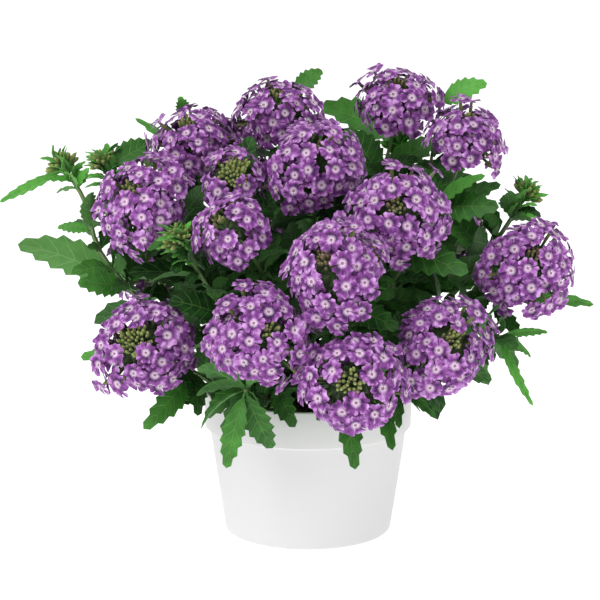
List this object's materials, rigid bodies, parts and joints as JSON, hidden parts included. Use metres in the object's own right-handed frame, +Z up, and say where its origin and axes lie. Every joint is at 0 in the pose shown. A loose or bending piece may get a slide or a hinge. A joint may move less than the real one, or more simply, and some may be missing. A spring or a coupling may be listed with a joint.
{
  "type": "potted verbena",
  "caption": "Garden verbena in a plain round nursery pot: round heads of small flowers on leafy stems that rise from the soil.",
  "frame": {"origin": "centre of the pot's base, on the surface that the pot stands on", "axes": "+Z up, -Y towards the side that the picture shows"},
  "size_m": [0.364, 0.2868, 0.283],
  "materials": {
    "pot": "smooth moulded white polypropylene, satin",
    "soil": "damp, crumbled peat potting mix",
    "leaves": "matt dark green leaves with sunken veins, and green stems",
    "petals": "velvety purple petals with a pale eye"
  },
  "bodies": {
    "root": {"flower_head_back_high_left": "petals", "flower_head_back_high_right": "petals", "flower_head_back_low_left": "petals", "flower_head_back_low_mid": "petals", "flower_head_back_low_right": "petals", "flower_head_back_right": "petals", "flower_head_centre": "petals", "flower_head_centre_left": "petals", "flower_head_centre_right": "petals", "flower_head_inner_left": "petals", "flower_head_left": "petals", "flower_head_low_centre": "petals", "flower_head_low_centre_left": "petals", "flower_head_low_left": "petals", "flower_head_low_right": "petals", "flower_head_right": "petals", "flower_head_top_centre": "petals", "flower_head_top_left": "petals", "flower_head_top_right": "petals", "flower_head_top_right_back": "petals", "flower_head_upper_left": "petals", "leafy_stem_back": "leaves", "leafy_stem_back_high_left": "leaves", "leafy_stem_back_high_right": "leaves", "leafy_stem_back_left": "leaves", "leafy_stem_back_low_left": "leaves", "leafy_stem_back_low_mid": "leaves", "leafy_stem_back_low_right": "leaves", "leafy_stem_back_right": "leaves", "leafy_stem_centre": "leaves", "leafy_stem_centre_left": "leaves", "leafy_stem_centre_right": "leaves", "leafy_stem_far_left": "leaves", "leafy_stem_far_right": "leaves", "leafy_stem_front_left": "leaves", "leafy_stem_high_left": "leaves", "leafy_stem_high_middle": "leaves", "leafy_stem_high_right": "leaves", "leafy_stem_inner": "leaves", "leafy_stem_inner_left": "leaves", "leafy_stem_left": "leaves", "leafy_stem_low_centre": "leaves", "leafy_stem_low_centre_left": "leaves", "leafy_stem_low_left": "leaves", "leafy_stem_low_right": "leaves", "leafy_stem_lower_right": "leaves", "leafy_stem_right": "leaves", "leafy_stem_top_centre": "leaves", "leafy_stem_top_left": "leaves", "leafy_stem_top_right": "leaves", "leafy_stem_top_right_back": "leaves", "leafy_stem_upper_left": "leaves", "pot": "pot", "soil": "soil"}
  },
  "joints": []
}
